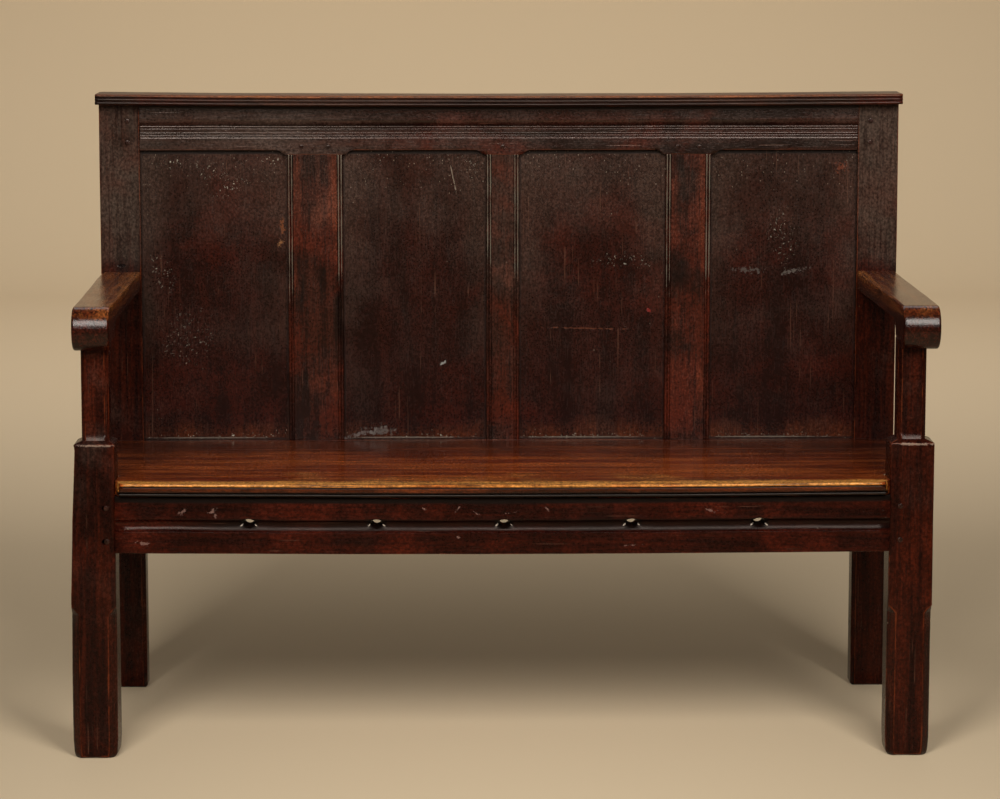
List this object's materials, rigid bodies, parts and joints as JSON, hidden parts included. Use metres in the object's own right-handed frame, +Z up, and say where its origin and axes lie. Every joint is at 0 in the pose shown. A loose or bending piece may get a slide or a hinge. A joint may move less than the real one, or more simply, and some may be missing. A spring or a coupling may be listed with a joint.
{
  "type": "settle bench",
  "caption": "Dark oak settle bench with a panelled back, reeded capping board, rolled arms and a plank seat on a joined, pegged frame.",
  "frame": {"origin": "on the floor, under the middle of the bench's length and depth", "axes": "+X along the bench to the right of someone looking at its front, front faces -Y, +Z up"},
  "size_m": [1.407, 0.618, 1.06],
  "materials": {
    "frame_oak": "old waxed dark oak, satin, worn red-brown along the arrises",
    "panel_oak": "old waxed dark oak, satin",
    "arm_oak": "hand-polished oak, glossy, lighter on top",
    "seat_oak": "polished golden-brown oak, glossy",
    "cap_oak": "old waxed oak, worn orange-brown on the nose",
    "peg_oak": "end-grain oak pegs, satin"
  },
  "bodies": {
    "root": {"back_post_left": "frame_oak", "back_post_right": "frame_oak", "front_post_left": "frame_oak", "front_post_right": "frame_oak", "side_rail_left": "frame_oak", "side_rail_right": "frame_oak", "front_rail": "frame_oak", "back_seat_rail": "frame_oak", "top_rail": "frame_oak", "muntin_left": "frame_oak", "muntin_centre": "frame_oak", "muntin_right": "frame_oak", "seat_bearer_left": "frame_oak", "seat_bearer_right": "frame_oak", "back_panel_1": "panel_oak", "back_panel_2": "panel_oak", "back_panel_3": "panel_oak", "back_panel_4": "panel_oak", "arm_left": "arm_oak", "arm_right": "arm_oak", "seat_board_front": "seat_oak", "seat_board_back": "seat_oak", "cap_board": "cap_oak", "front_rail_pegs": "peg_oak", "back_rail_pegs": "peg_oak", "side_rail_pegs": "peg_oak", "top_rail_pegs": "peg_oak", "muntin_pegs": "peg_oak", "arm_pegs": "peg_oak", "cap_pegs": "peg_oak"}
  },
  "joints": []
}
